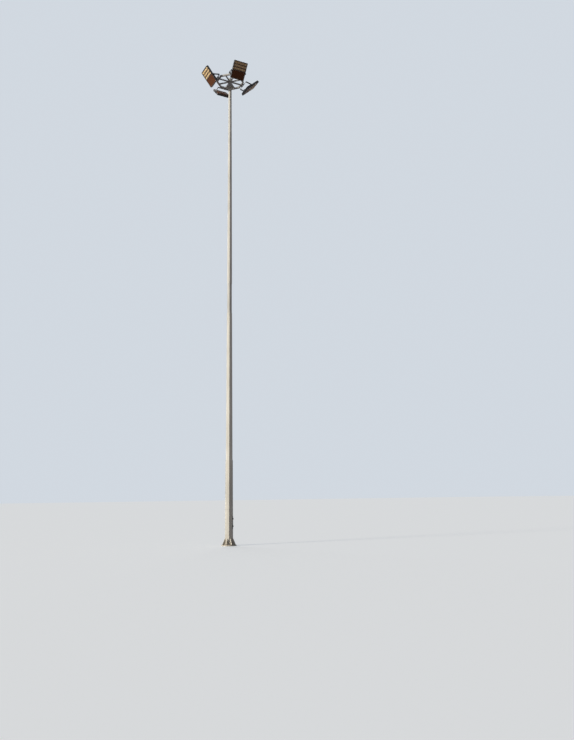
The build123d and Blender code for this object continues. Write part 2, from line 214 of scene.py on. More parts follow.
world = bpy.data.worlds.new("world")
bpy.context.scene.world = world
world.use_nodes = True
nodes, links = world.node_tree.nodes, world.node_tree.links
light = nodes["Background"]
light.inputs["Color"].default_value = (*WORLD_LIGHT, 1)
light.inputs["Strength"].default_value = WORLD_STRENGTH
backdrop = nodes.new("ShaderNodeBackground")
backdrop.inputs["Color"].default_value = (*BACKDROP, 1)
mix = nodes.new("ShaderNodeMixShader")
links.new(seen_directly(nodes, links), mix.inputs["Fac"])
links.new(light.outputs[0], mix.inputs[1])
links.new(backdrop.outputs[0], mix.inputs[2])
links.new(mix.outputs[0], nodes["World Output"].inputs["Surface"])

# Floor: pale where it is seen, and darker where it only throws light back up at the mast
FLOOR_HALF = 400
FLOOR_SEEN = (0.70, 0.70, 0.70)
FLOOR_BOUNCE = (0.150, 0.105, 0.080)
FLOOR_GLOW = 0.42
SQUARE = ((-1, -1), (1, -1), (1, 1), (-1, 1))
floor_mesh = bpy.data.meshes.new("floor")
corners = [(x * FLOOR_HALF, y * FLOOR_HALF, 0) for x, y in SQUARE]
floor_mesh.from_pydata(corners, [], [(0, 1, 2, 3)])
floor = bpy.data.objects.new("floor", floor_mesh)
bpy.context.scene.collection.objects.link(floor)
floor_material = bpy.data.materials.new("floor")
floor_material.use_nodes = True
nodes, links = floor_material.node_tree.nodes, floor_material.node_tree.links
floor_shader = nodes["Principled BSDF"]
floor_shader.inputs["Roughness"].default_value = 1.0
floor_shader.inputs["Specular IOR Level"].default_value = 0.0
seen = seen_directly(nodes, links)
tone = nodes.new("ShaderNodeMix")
tone.data_type = "RGBA"
tone.inputs["A"].default_value = (*FLOOR_BOUNCE, 1)
tone.inputs["B"].default_value = (*FLOOR_SEEN, 1)
links.new(seen, tone.inputs["Factor"])
links.new(tone.outputs["Result"], floor_shader.inputs["Base Color"])
glow = nodes.new("ShaderNodeMath")
glow.operation = "MULTIPLY"
links.new(seen, glow.inputs[0])
glow.inputs[1].default_value = FLOOR_GLOW
floor_shader.inputs["Emission Color"].default_value = (*BACKDROP, 1)
links.new(glow.outputs[0], floor_shader.inputs["Emission Strength"])
floor_mesh.materials.append(floor_material)


# Materials
# Noise is in lumps to the metre, and cells are in cells to the metre.
MOTTLE = (0.3, 0.7)
EDGE_TURN = (0.02, 0.22)
BEVEL_SAMPLES = 4


class Finish:
    """A material's node tree, with a short call for each kind of node used here."""

    def __init__(self, name):
        self.material = bpy.data.materials.new(name)
        self.material.use_nodes = True
        self.tree = self.material.node_tree
        self.shader = self.tree.nodes["Principled BSDF"]
        self.place = self.node("TexCoord").outputs["Object"]

    def node(self, kind, **settings):
        """A new node of a kind, with its settings."""
        node = self.tree.nodes.new("ShaderNode" + kind)
        for key, value in settings.items():
            setattr(node, key, value)
        return node

    def feed(self, socket, value):
        """Links a socket to the input, or sets a plain value on it."""
        if isinstance(value, bpy.types.NodeSocket):
            self.tree.links.new(value, socket)
        else:
            socket.default_value = value

    def noise(self, scale, detail, upright=1.0, roughness=0.5):
        """Noise from 0 to 1, drawn out along Z where upright is less than 1."""
        place = self.node("VectorMath", operation="MULTIPLY")
        self.feed(place.inputs[0], self.place)
        place.inputs[1].default_value = (1, 1, upright)
        node = self.node("TexNoise")
        self.feed(node.inputs["Vector"], place.outputs[0])
        node.inputs["Scale"].default_value = scale
        node.inputs["Detail"].default_value = detail
        node.inputs["Roughness"].default_value = roughness
        return node.outputs["Fac"]

    def cells(self, scale):
        """A random value for each cell of a broken-up surface."""
        node = self.node("TexVoronoi")
        self.feed(node.inputs["Vector"], self.place)
        node.inputs["Scale"].default_value = scale
        value = self.node("SeparateColor")
        self.feed(value.inputs[0], node.outputs["Color"])
        return value.outputs[0]

    def span(self, value, low, high, to_low=0.0, to_high=1.0):
        """The value's stretch from low to high, laid on another stretch and held at its ends."""
        node = self.node("MapRange", interpolation_type="SMOOTHSTEP")
        self.feed(node.inputs["Value"], value)
        ends = {"From Min": low, "From Max": high, "To Min": to_low, "To Max": to_high}
        for socket, number in ends.items():
            node.inputs[socket].default_value = number
        return node.outputs[0]

    def mottle(self, scale, detail, to_low=0.0, to_high=1.0):
        """Even noise, laid on a stretch."""
        return self.span(self.noise(scale, detail), *MOTTLE, to_low, to_high)

    def math(self, operation, first, second):
        """Two sockets or plain values, taken together."""
        node = self.node("Math", operation=operation)
        self.feed(node.inputs[0], first)
        self.feed(node.inputs[1], second)
        return node.outputs[0]

    def over(self, base, colour, amount):
        """A colour laid over another by an amount, each a socket or plain values."""
        node = self.node("Mix", data_type="RGBA")
        self.feed(node.inputs["Factor"], amount)
        for socket, value in ((node.inputs["A"], base), (node.inputs["B"], colour)):
            self.feed(socket, value if isinstance(value, bpy.types.NodeSocket) else (*value, 1))
        return node.outputs["Result"]

    def height(self):
        """The height above the ground."""
        node = self.node("SeparateXYZ")
        self.feed(node.inputs[0], self.place)
        return node.outputs["Z"]

    def dusted(self, base, amount):
        """Dust laid by an amount over what faces up."""
        normal = self.node("SeparateXYZ")
        self.feed(normal.inputs[0], self.node("TexCoord").outputs["Normal"])
        facing_up = self.math("MAXIMUM", normal.outputs["Z"], 0.0)
        return self.over(base, DUST, self.math("MULTIPLY", facing_up, amount))

    def rounded(self, radius):
        """The surface's direction, with edges rounded by a radius."""
        bevel = self.node("Bevel", samples=BEVEL_SAMPLES)
        bevel.inputs["Radius"].default_value = radius
        return bevel.outputs[0]

    def rubbed(self, base, colour, radius, amount):
        """A colour laid by an amount over edges, within a radius of them."""
        turn = self.node("VectorMath", operation="DOT_PRODUCT")
        self.feed(turn.inputs[0], self.rounded(radius))
        self.feed(turn.inputs[1], self.node("NewGeometry").outputs["Normal"])
        edge = self.span(self.math("SUBTRACT", 1.0, turn.outputs["Value"]), *EDGE_TURN)
        return self.over(base, colour, self.math("MULTIPLY", edge, amount))

    def relief(self, layers, soft_radius=0.0):
        """Bumps, each a height, a strength and a depth, over edges that are rounded by a radius."""
        normal = self.rounded(soft_radius) if soft_radius else None
        for value, strength, depth in layers:
            bump = self.node("Bump")
            self.feed(bump.inputs["Height"], value)
            bump.inputs["Strength"].default_value = strength
            bump.inputs["Distance"].default_value = depth
            if normal:
                self.feed(bump.inputs["Normal"], normal)
            normal = bump.outputs[0]
        self.feed(self.shader.inputs["Normal"], normal)

    def surface(self, colour, roughness, metallic=0.0, specular=0.5, coat=0.0, coat_roughness=0.1):
        """The finished material."""
        self.feed(self.shader.inputs["Base Color"], colour)
        self.feed(self.shader.inputs["Roughness"], roughness)
        self.shader.inputs["Metallic"].default_value = metallic
        self.shader.inputs["Specular IOR Level"].default_value = specular
        self.shader.inputs["Coat Weight"].default_value = coat
        self.shader.inputs["Coat Roughness"].default_value = coat_roughness
        return self.material


def toned(colour, factor, lift=0.0):
    """A colour times a factor, plus a lift, held at 1."""
    return tuple(min(channel * factor + lift, 1) for channel in colour)


SOIL = (0.40, 0.31, 0.20)
DUST = (0.36, 0.31, 0.25)
BLOOM = (0.80, 0.80, 0.77)
WELD_STEEL = (0.60, 0.60, 0.59)
SOILED_WELD_STEEL = (0.57, 0.53, 0.46)
SPANGLE = 70
FINE_SPANGLE = 190


def galvanized(name, colour, soft_radius, soiled=False):
    """Hot-dip galvanized steel: spangle, dull patches, runs down the shaft and pale bloom."""
    look = Finish(name)
    dark = toned(colour, 0.78)
    light = toned(colour, 1.10)
    patches = look.span(look.noise(2.2, 4, 0.35), 0.32, 0.68)
    base = look.over(dark, light, patches)
    spangle = look.cells(SPANGLE)
    base = look.over(base, dark, look.span(spangle, 0, 1, 0.0, 0.26))
    base = look.over(base, light, look.span(look.cells(FINE_SPANGLE), 0.5, 1, 0.0, 0.16))
    runs = look.noise(26, 3, 0.04, 0.6)
    base = look.over(base, dark, look.span(runs, 0.56, 0.76, 0.0, 0.40))
    base = look.over(base, BLOOM, look.span(runs, 0.24, 0.40, 0.30, 0.0))
    base = look.over(base, BLOOM, look.span(look.noise(9, 5, 0.5, 0.65), 0.60, 0.72, 0.0, 0.40))
    if soiled:
        ragged = look.math("MULTIPLY", look.noise(9, 6, 0.6, 0.75), 0.7)
        splashed = look.span(look.math("SUBTRACT", look.height(), ragged), -0.35, 0.15, 0.42, 0.0)
        broken = look.span(look.noise(55, 4), 0.35, 0.6, 0.45, 1.0)
        base = look.over(base, SOIL, look.math("MULTIPLY", splashed, broken))
    base = look.rubbed(base, BLOOM, 0.003, 0.35)
    dullness = look.math("ADD", look.math("MULTIPLY", spangle, 0.5), patches)
    look.relief([(look.noise(320, 2), 0.10, 0.001), (look.noise(14, 3, 0.3), 0.12, 0.004)], soft_radius)
    return look.surface(base, look.span(dullness, 0.0, 1.5, 0.45, 0.65), metallic=0.05, specular=0.35)


def powder_coat(name, colour, roughness, dust=0.30):
    """Satin powder coat on cast or folded metal: fine peel, dust on top and rubbed edges."""
    bare = (0.30, 0.29, 0.28)
    look = Finish(name)
    base = look.over(colour, toned(colour, 1.5, 0.01), look.span(look.noise(11, 4), 0.35, 0.7))
    base = look.dusted(base, look.span(look.noise(24, 5, roughness=0.65), 0.35, 0.65, dust * 0.2, dust))
    base = look.rubbed(base, bare, 0.0025, 0.35)
    look.relief([(look.noise(1500, 2), 0.22, 0.0004), (look.noise(60, 2), 0.05, 0.002)], 0.0018)
    return look.surface(base, look.mottle(40, 3, roughness - 0.07, roughness + 0.09), specular=0.35)


def heat_sink(name):
    """Dark bronze anodized extrusion with drawing lines and dust between the fins."""
    dark, light = (0.072, 0.040, 0.025), (0.105, 0.060, 0.038)
    drawn, bare = (0.15, 0.095, 0.065), (0.32, 0.25, 0.19)
    look = Finish(name)
    base = look.over(dark, light, look.mottle(16, 4))
    lines = look.noise(900, 1, 0.04)
    base = look.over(base, drawn, look.span(lines, 0.55, 0.8, 0.0, 0.15))
    base = look.dusted(base, look.span(look.noise(34, 6, roughness=0.7), 0.35, 0.75, 0.12, 0.42))
    base = look.rubbed(base, bare, 0.0015, 0.4)
    look.relief([(lines, 0.12, 0.0005)], 0.0008)
    return look.surface(base, look.mottle(50, 3, 0.36, 0.48), metallic=0.40, specular=0.35)


def driver_panel(name):
    """The driver housing: dark brown textured coat, a little dull with dust and rain marks."""
    dark, light = (0.114, 0.039, 0.014), (0.132, 0.048, 0.019)
    speck, rain_mark, bare = (0.20, 0.098, 0.050), (0.24, 0.145, 0.090), (0.30, 0.22, 0.17)
    look = Finish(name)
    base = look.over(dark, light, look.mottle(34, 5))
    specks = look.noise(420, 2)
    base = look.over(base, speck, look.span(specks, 0.62, 0.8, 0.0, 0.30))
    rain = look.noise(34, 4, 0.12, 0.6)
    base = look.over(base, rain_mark, look.span(rain, 0.55, 0.75, 0.0, 0.16))
    base = look.dusted(base, look.span(look.noise(26, 6, roughness=0.7), 0.35, 0.75, 0.12, 0.38))
    base = look.rubbed(base, bare, 0.002, 0.35)
    look.relief([(specks, 0.30, 0.0006)], 0.0015)
    return look.surface(base, look.mottle(45, 3, 0.52, 0.66), specular=0.17)


def lens_plate(name):
    """The clear plate over the cream emitter board, with faint board patches and haze."""
    dark, light = (0.89, 0.67, 0.40), (0.94, 0.76, 0.51)
    board, hazy = (0.93, 0.70, 0.36), (0.60, 0.52, 0.42)
    look = Finish(name)
    base = look.over(dark, light, look.mottle(10, 3))
    base = look.over(base, board, look.span(look.cells(120), 0.6, 1.0, 0.0, 0.25))
    haze = look.noise(28, 5, 0.5, 0.65)
    base = look.over(base, hazy, look.span(haze, 0.58, 0.75, 0.0, 0.25))
    look.relief([(look.noise(260, 2), 0.08, 0.0004)], 0.001)
    gloss = look.span(haze, 0.4, 0.7, 0.25, 0.42)
    return look.surface(base, gloss, specular=0.35, coat=0.15, coat_roughness=0.10)


def moulded_optic(name):
    """A moulded optic over one emitter, clear over a warm phosphor."""
    dark, light, dull = (0.92, 0.69, 0.33), (0.94, 0.80, 0.51), (0.66, 0.55, 0.40)
    look = Finish(name)
    base = look.over(dark, light, look.cells(35))
    base = look.over(base, dull, look.span(look.noise(30, 4), 0.55, 0.75, 0.0, 0.3))
    look.relief([(look.noise(500, 2), 0.06, 0.0003)])
    gloss = look.mottle(60, 2, 0.14, 0.26)
    return look.surface(base, gloss, specular=0.40, coat=0.20, coat_roughness=0.06)


def phosphor(name):
    """The yellow phosphor over an emitter chip."""
    dark, light, burnt = (0.86, 0.50, 0.06), (0.95, 0.66, 0.14), (0.60, 0.36, 0.08)
    look = Finish(name)
    base = look.over(dark, light, look.cells(60))
    base = look.over(base, burnt, look.span(look.noise(300, 3), 0.55, 0.75, 0.0, 0.4))
    look.relief([(look.noise(900, 2), 0.15, 0.0002)])
    return look.surface(base, look.mottle(200, 2, 0.35, 0.55), specular=0.4)


def zinc(name):
    """Zinc plated fasteners, dulled by weather, with a little rust in the roots."""
    dark, light = (0.40, 0.40, 0.38), (0.62, 0.61, 0.57)
    rust, bright = (0.34, 0.20, 0.11), (0.78, 0.77, 0.74)
    look = Finish(name)
    base = look.over(dark, light, look.mottle(140, 4))
    base = look.over(base, rust, look.span(look.noise(90, 5, roughness=0.7), 0.60, 0.74, 0.0, 0.45))
    base = look.rubbed(base, bright, 0.0012, 0.5)
    look.relief([(look.noise(800, 2), 0.10, 0.0003)], 0.0006)
    return look.surface(base, look.mottle(120, 3, 0.32, 0.50), metallic=0.75)


def weld_metal(name, colour):
    """Weld beads under zinc: a little duller than the plate, and grimy between the ripples."""
    grime = (0.30, 0.28, 0.25)
    look = Finish(name)
    base = look.over(toned(colour, 0.66), colour, look.mottle(60, 4))
    base = look.over(base, grime, look.span(look.noise(240, 3), 0.52, 0.72, 0.0, 0.45))
    look.relief([(look.noise(700, 2), 0.20, 0.0005)])
    return look.surface(base, look.mottle(110, 3, 0.50, 0.68), metallic=0.05, specular=0.30)


def moulding(name, colour, roughness):
    """Moulded plastic or rubber: fine grain, dust on top and rubbed edges."""
    paler = (0.16, 0.16, 0.16)
    look = Finish(name)
    base = look.over(colour, toned(colour, 1.6), look.mottle(90, 3))
    base = look.rubbed(base, paler, 0.002, 0.4)
    base = look.dusted(base, 0.25)
    look.relief([(look.noise(1300, 2), 0.25, 0.0004)], 0.0008)
    return look.surface(base, look.mottle(70, 3, roughness - 0.06, roughness + 0.08))


shaft_base = galvanized("galvanized_base", (0.72, 0.715, 0.69), 0.012, soiled=True)
shaft_lower = galvanized("galvanized_lower", (0.74, 0.74, 0.72), 0.011)
shaft_splice = galvanized("galvanized_splice", (0.66, 0.665, 0.66), 0.010)
shaft_upper = galvanized("galvanized_upper", (0.73, 0.73, 0.715), 0.009)
plate_steel = galvanized("galvanized_plate", (0.67, 0.665, 0.64), 0.002, soiled=True)
# The crown is galvanized like the shaft. Its darker tone is painted shade, not a darker steel.
crown_steel_painted_shade = galvanized("galvanized_crown_painted_shade", (0.51, 0.515, 0.53), 0.003)
weld = weld_metal("weld", WELD_STEEL)
foot_weld = weld_metal("foot_weld", SOILED_WELD_STEEL)
bolt_zinc = zinc("zinc_bolt")
yoke_coat = powder_coat("yoke_coat", (0.050, 0.052, 0.058), 0.42)
frame_coat = powder_coat("frame_coat", (0.028, 0.026, 0.026), 0.40)
door_coat = powder_coat("door_coat", (0.034, 0.034, 0.036), 0.45, dust=0.15)
bronze_fins = heat_sink("heat_sink")
brown_panel = driver_panel("driver_panel")
clear_plate = lens_plate("lens_plate")
clear_optic = moulded_optic("clear_optic")
yellow_chip = phosphor("yellow_chip")
knob_black = moulding("knob_black", (0.018, 0.018, 0.019), 0.48)
rubber = moulding("rubber", (0.014, 0.014, 0.014), 0.70)

NODE_FINISH = {
    "base_flange": plate_steel,
    "base_gussets": plate_steel,
    "mast_door_section": shaft_base,
    "mast_base_section": shaft_base,
    "mast_lower_section": shaft_lower,
    "mast_splice_sleeve": shaft_splice,
    "mast_upper_section": shaft_upper,
    "mast_head_flange": crown_steel_painted_shade,
    "mast_cap": shaft_splice,
    "door_frame": plate_steel,
    "door_hinge_lugs": plate_steel,
    "service_door": door_coat,
    "crown_hub": crown_steel_painted_shade,
    "crown_ring": crown_steel_painted_shade,
    "crown_spokes": crown_steel_painted_shade,
    "lamp_brackets": crown_steel_painted_shade,
}
LAMP_FINISH = {
    "yoke": yoke_coat,
    "lamp_frame": frame_coat,
    "lamp_modules": bronze_fins,
    "lamp_lenses": clear_plate,
    "lamp_driver": brown_panel,
    "lamp_knobs": knob_black,
}
for side in LAMPS:
    for stem, finish in LAMP_FINISH.items():
        NODE_FINISH[f"{stem}_{side}"] = finish
for name, finish in NODE_FINISH.items():
    for material_slot in frame["nodes"][name].material_slots:
        material_slot.material = finish


# Mesh building
SHARP_ANGLE = math.radians(38)
CORNER_STEPS = 4


def circle(radius, sides, height=0.0, turn=0.0):
    """Corners of a regular polygon in a level plane, anticlockwise."""
    angles = [math.radians(turn) + 2 * math.pi * k / sides for k in range(sides)]
    return [Vector((radius * math.cos(angle), radius * math.sin(angle), height)) for angle in angles]


def octagon(flats, height):
    """Corners of the shaft's octagon at a height, with flats facing X and Y."""
    half_turn = 180 / MAST_SIDES
    return circle(flats / 2 / math.cos(math.radians(half_turn)), MAST_SIDES, height, half_turn)


def chamfered_box(width, height, cut):
    """Corners of an upright rectangle with cut corners, anticlockwise."""
    x, y = width / 2, height / 2
    upper = [(x, y - cut), (x - cut, y), (cut - x, y), (-x, y - cut)]
    lower = [(-x, cut - y), (cut - x, -y), (x - cut, -y), (x, cut - y)]
    return [Vector((*corner, 0)) for corner in upper + lower]


def rounded_box(width, height, radius):
    """Points of an upright rectangle with round corners, anticlockwise."""
    points = []
    for sign_x, sign_y, first in ((1, 1, 0), (-1, 1, 90), (-1, -1, 180), (1, -1, 270)):
        for step in range(CORNER_STEPS + 1):
            angle = math.radians(first + step * 90 / CORNER_STEPS)
            x = sign_x * (width / 2 - radius) + radius * math.cos(angle)
            y = sign_y * (height / 2 - radius) + radius * math.sin(angle)
            points.append(Vector((x, y, 0)))
    return points


def facing(azimuth, distance, height):
    """A place on an upright face: x to the right seen from outside, y up and z outward."""
    angle = math.radians(azimuth)
    outward = Vector((math.cos(angle), math.sin(angle), 0))
    across = Vector((-math.sin(angle), math.cos(angle), 0))
    axes = Matrix((across, Vector((0, 0, 1)), outward)).transposed().to_4x4()
    return Matrix.Translation(outward * distance + Vector((0, 0, height))) @ axes


def shift(x, y, z):
    """A plain move."""
    return Matrix.Translation((x, y, z))


def soften(mesh):
    """Smooth shading that keeps the mesh's sharper edges."""
    mesh.polygons.foreach_set("use_smooth", [True] * len(mesh.polygons))
    normals = {}
    for face in mesh.polygons:
        for key in face.edge_keys:
            normals.setdefault(key, []).append(face.normal)
    sharp = mesh.attributes.new("sharp_edge", "BOOLEAN", "EDGE")
    for edge in mesh.edges:
        pair = normals.get(edge.key, [])
        real = len(pair) == 2 and pair[0].length > 0 and pair[1].length > 0
        sharp.data[edge.index].value = not real or pair[0].angle(pair[1]) > SHARP_ANGLE


# Fasteners, in shares of their own sizes, and their count of sides
WASHER_EDGE = 0.25
HEX_SHOULDER = 0.82
HEX_TOP = 0.47
BOLT_RADIUS = 0.30
BOLT_TIP = 0.26
BOLT_RISE = 0.06
SCREW_PROFILE = ((1.0, 0.0), (1.0, 0.5), (0.8, 1.0), (0.45, 1.0), (0.40, 0.45), (0.05, 0.35))
HEX_SIDES = 6
TIP_SIDES = 12
SCREW_SIDES = 14
WASHER_SIDES = 20

# Weld beads: the ripples' pitch, then sizes in radii, and how far past an end each smaller size lies
BEAD_PITCH = 0.0030
BEAD_SIDES = 9
BEAD_SIZES = (0.97, 1.08)
BEAD_SCATTER = 0.04
BEAD_ENDS = ((0.30, 0.78), (0.50, 0.40))


class Shape:
    """Collects the points and faces of one piece, drawn in a place given by a matrix."""

    def __init__(self, place=None):
        self.points = []
        self.faces = []
        self.place = place or Matrix.Identity(4)

    def band(self, first, second, count):
        """Faces between two rings of as many points, each given by its first point."""
        for i in range(count):
            j = (i + 1) % count
            self.faces.append((first + i, first + j, second + j, second + i))

    def skin(self, rings, place=None):
        """A closed skin through rings of as many points each, with flat ends."""
        place = self.place @ place if place else self.place
        count = len(rings[0])
        start = len(self.points)
        end = start + (len(rings) - 1) * count
        self.points += [place @ Vector(point) for ring in rings for point in ring]
        for first in range(start, end, count):
            self.band(first, first + count, count)
        self.faces.append(tuple(start + i for i in reversed(range(count))))
        self.faces.append(tuple(end + i for i in range(count)))

    def turned(self, profile, sides, place=None):
        """A solid turned about z through pairs of a radius and a height, from the bottom up."""
        self.skin([circle(radius, sides, height) for radius, height in profile], place)

    def hex_bolt(self, place, flats, height, washer_radius=0.0, washer=0.0):
        """A hexagon head with a chamfered top and a bolt's end, on a washer if it has a thickness."""
        if washer:
            edge = washer * WASHER_EDGE
            profile = [(washer_radius, 0), (washer_radius, washer - edge), (washer_radius - edge, washer)]
            self.turned(profile, WASHER_SIDES, place)
        corner = flats / math.sqrt(3)
        shoulder = washer + height * HEX_SHOULDER
        top = washer + height
        self.turned([(corner, washer), (corner, shoulder), (flats * HEX_TOP, top)], HEX_SIDES, place)
        tip = top + height * BOLT_RISE
        self.turned([(flats * BOLT_RADIUS, top), (flats * BOLT_TIP, tip)], TIP_SIDES, place)

    def screw(self, place, radius, height):
        """A low button head with a dished middle."""
        profile = [(radius * share, height * level) for share, level in SCREW_PROFILE]
        self.turned(profile, SCREW_SIDES, place)

    def bead(self, start, end, radius, pitch=BEAD_PITCH):
        """A rippled weld bead from one point to another, rounded off a little past both."""
        start = Vector(start)
        along = Vector(end) - start
        length = along.length
        steps = max(2, int(length / pitch))
        stations = [(-past * radius, size) for past, size in reversed(BEAD_ENDS)]
        for k in range(steps + 1):
            size = BEAD_SIZES[k % 2] + random.uniform(-BEAD_SCATTER, BEAD_SCATTER)
            stations.append((length * k / steps, size))
        stations += [(length + past * radius, size) for past, size in BEAD_ENDS]
        place = Matrix.Translation(start) @ along.to_track_quat("Z", "Y").to_matrix().to_4x4()
        self.turned([(radius * size, distance) for distance, size in stations], BEAD_SIDES, place)

    def bead_loop(self, points, radius):
        """Beads along the sides of a closed outline."""
        for first, second in zip(points, points[1:] + points[:1]):
            self.bead(first, second, radius)

    def piece(self, name, material, body):
        """The finished object, riding on a body."""
        mesh = bpy.data.meshes.new(name)
        mesh.from_pydata([tuple(point) for point in self.points], [], self.faces)
        mesh.materials.append(material)
        soften(mesh)
        made = bpy.data.objects.new(name, mesh)
        bpy.context.scene.collection.objects.link(made)
        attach(made, body)
        return made


def base_flats(height):
    """The shaft's width across its flats at a height, in the base section."""
    return BASE_FLATS - BASE_TAPER * height


def lower_flats(height):
    """The same in the lower section, which sits inside the base section's wall."""
    return base_flats(height) - 2 * BASE_WALL


def upper_flats(height):
    """The same in the upper section."""
    return UPPER_MOUTH - UPPER_TAPER * (height - UPPER_BOTTOM)


# Welds at the mast's foot: round the shaft, and up and out along both sides of each gusset
FOOT_BEAD = 0.005
gusset_top = FLANGE_TOP + GUSSET_HEIGHT
foot_welds = Shape()
foot_welds.bead_loop(octagon(base_flats(FLANGE_TOP), FLANGE_TOP), FOOT_BEAD)
for k in range(MAST_SIDES):
    foot_welds.place = facing(k * 360 / MAST_SIDES, 0, 0)
    for hand in (-1, 1):
        x = hand * GUSSET_THICKNESS / 2
        foot = (x, FLANGE_TOP, base_flats(FLANGE_TOP) / 2)
        foot_welds.bead(foot, (x, gusset_top, base_flats(gusset_top) / 2), FOOT_BEAD)
        foot_welds.bead(foot, (x, FLANGE_TOP, GUSSET_REACH), FOOT_BEAD)
foot_welds.piece("foot_welds", foot_weld, "mast")

# Girth weld between the door section and the base section, and the shaft's long seams
SEAM_AZIMUTH = 135
SEAM_BEAD = 0.0032
SEAM_PITCH = 0.009
GIRTH_BEAD = 0.004
girth_weld = Shape()
girth_weld.bead_loop(octagon(base_flats(DOOR_SECTION_TOP), DOOR_SECTION_TOP), GIRTH_BEAD)
girth_weld.piece("girth_weld", weld, "mast")

shaft_seams = Shape(facing(SEAM_AZIMUTH, 0, 0))
for bottom, top, flats in (
    (gusset_top, BASE_TOP, base_flats),
    (BASE_TOP, LOWER_TOP, lower_flats),
    (UPPER_BOTTOM, HEAD_JOINT - HEAD_FLANGE, upper_flats),
):
    low = (0, bottom, flats(bottom) / 2 - SEAM_BEAD / 3)
    high = (0, top, flats(top) / 2 - SEAM_BEAD / 3)
    shaft_seams.bead(low, high, SEAM_BEAD, SEAM_PITCH)
shaft_seams.piece("shaft_seams", weld, "mast")

# Crown welds: the flanges, the spokes to the hub and the ring, and the ring's mitres
CROWN_BEAD = 0.0035
MITRE_BEAD = 0.0026
RING_INSIDE = RING_OUTSIDE - RING_TUBE[0]
crown_welds = Shape()
crown_welds.bead_loop(octagon(upper_flats(HEAD_JOINT), HEAD_JOINT - HEAD_FLANGE), FOOT_BEAD)
crown_welds.bead_loop(octagon(HUB_FLATS, HEAD_JOINT + HEAD_FLANGE), FOOT_BEAD)
mitre_reach = 1 / math.cos(math.pi / MAST_SIDES)
middle = (RING_INSIDE + RING_OUTSIDE) / 2
section = chamfered_box(*RING_TUBE, RING_CHAMFER)
mitre = [Vector((0, point.y, (middle + point.x) * mitre_reach)) for point in section]
for k in range(MAST_SIDES):
    azimuth = k * 360 / MAST_SIDES
    for distance in (HUB_FLATS / 2, RING_INSIDE):
        crown_welds.place = facing(azimuth, distance, RING_HEIGHT)
        crown_welds.bead_loop(chamfered_box(*SPOKE_TUBE, SPOKE_CHAMFER), CROWN_BEAD)
    crown_welds.place = facing(azimuth + 180 / MAST_SIDES, 0, RING_HEIGHT)
    crown_welds.bead_loop(mitre, MITRE_BEAD)
crown_welds.piece("crown_welds", weld, "mast")

# Bolts through the head flange and the hub's, with nuts below and the bolts' ends past them
BOLT_FLATS = 0.024
BOLT_HEAD = 0.010
NUT_HEIGHT = 0.013
HEAD_BOLT_CIRCLE = 0.100
HEAD_WASHER = (0.0155, 0.003)
HEAD_BOLT_END = ((0.0074, HEAD_WASHER[1]), (0.0074, 0.022), (0.0066, 0.0232))
head_bolts = Shape()
for k in range(MAST_SIDES):
    angle = math.radians((k + 0.5) * 360 / MAST_SIDES)
    centre = shift(HEAD_BOLT_CIRCLE * math.cos(angle), HEAD_BOLT_CIRCLE * math.sin(angle), HEAD_JOINT)
    below = centre @ Matrix.Rotation(math.pi, 4, "X") @ shift(0, 0, HEAD_FLANGE)
    head_bolts.hex_bolt(centre @ shift(0, 0, HEAD_FLANGE), BOLT_FLATS, BOLT_HEAD, *HEAD_WASHER)
    head_bolts.hex_bolt(below, BOLT_FLATS, NUT_HEIGHT, *HEAD_WASHER)
    head_bolts.turned(HEAD_BOLT_END, SCREW_SIDES, below)
head_bolts.piece("head_flange_bolts", bolt_zinc, "mast")

# Brackets: the bolts that hold each yoke, with washers and nuts, and the cheeks' welds
YOKE_BOLT_SPACING = 0.080
YOKE_WASHER = (0.015, 0.003)
BRACKET_BEAD = 0.003
for side, azimuth in LAMPS.items():
    ring_face = facing(azimuth, RING_OUTSIDE, RING_HEIGHT)
    outward = facing(azimuth, RING_OUTSIDE + BRACKET_REACH + BRACKET_PLATE, RING_HEIGHT)
    seat = outward @ Matrix.Rotation(math.radians(YOKE_DROOP), 4, "X")
    back = seat @ shift(0, 0, -BRACKET_PLATE)
    yoke_bolts = Shape()
    for x in (-YOKE_BOLT_SPACING / 2, YOKE_BOLT_SPACING / 2):
        head = seat @ shift(x, 0, YOKE_THICKNESS)
        nut = back @ shift(x, 0, 0) @ Matrix.Rotation(math.pi, 4, "Y")
        yoke_bolts.hex_bolt(head, BOLT_FLATS, BOLT_HEAD, *YOKE_WASHER)
        yoke_bolts.hex_bolt(nut, BOLT_FLATS, NUT_HEIGHT, *YOKE_WASHER)
    yoke_bolts.piece(f"yoke_bolts_{side}", bolt_zinc, "mast")
    bracket_welds = Shape()
    for hand in (-1, 1):
        for x in (hand * BRACKET_WIDTH / 2, hand * (BRACKET_WIDTH / 2 - BRACKET_CHEEK)):
            for place, y in (
                (ring_face, RING_TUBE[1] / 2 - RING_CHAMFER),
                (back, BRACKET_HEIGHT / 2 - BRACKET_CHEEK),
            ):
                bracket_welds.place = place
                bracket_welds.bead((x, -y, 0), (x, y, 0), BRACKET_BEAD)
    bracket_welds.piece(f"bracket_welds_{side}", weld, "mast")

# Service door: the weld round its frame, the seal behind the leaf, and the hinges' pins and screws
DOOR_BEAD = 0.0024
door_facet = facing(DOOR_AZIMUTH, base_flats(DOOR_MIDDLE) / 2, DOOR_MIDDLE)
door_front = door_facet @ shift(0, 0, DOOR_PROUD)
door_weld = Shape(door_facet)
rim_size = [length + 2 * DOOR_RIM for length in DOOR_OPENING]
outline = rounded_box(*rim_size, DOOR_CORNER + DOOR_RIM)
door_weld.bead_loop(
    [Vector((point.x, point.y, -BASE_TAPER / 2 * point.y)) for point in outline], DOOR_BEAD,
)
door_weld.piece("door_frame_weld", weld, "mast")

SEAL_WIDTH = 0.010
SEAL_THICKNESS = 0.005
SEAL_BEVEL = 0.001


def seal_ring(inset, depth):
    """A line round the seal, set in from the opening's edge, at a depth on the door's front."""
    width, height = DOOR_OPENING[0] - 2 * inset, DOOR_OPENING[1] - 2 * inset
    return [Vector((point.x, point.y, depth)) for point in rounded_box(width, height, DOOR_CORNER - inset)]


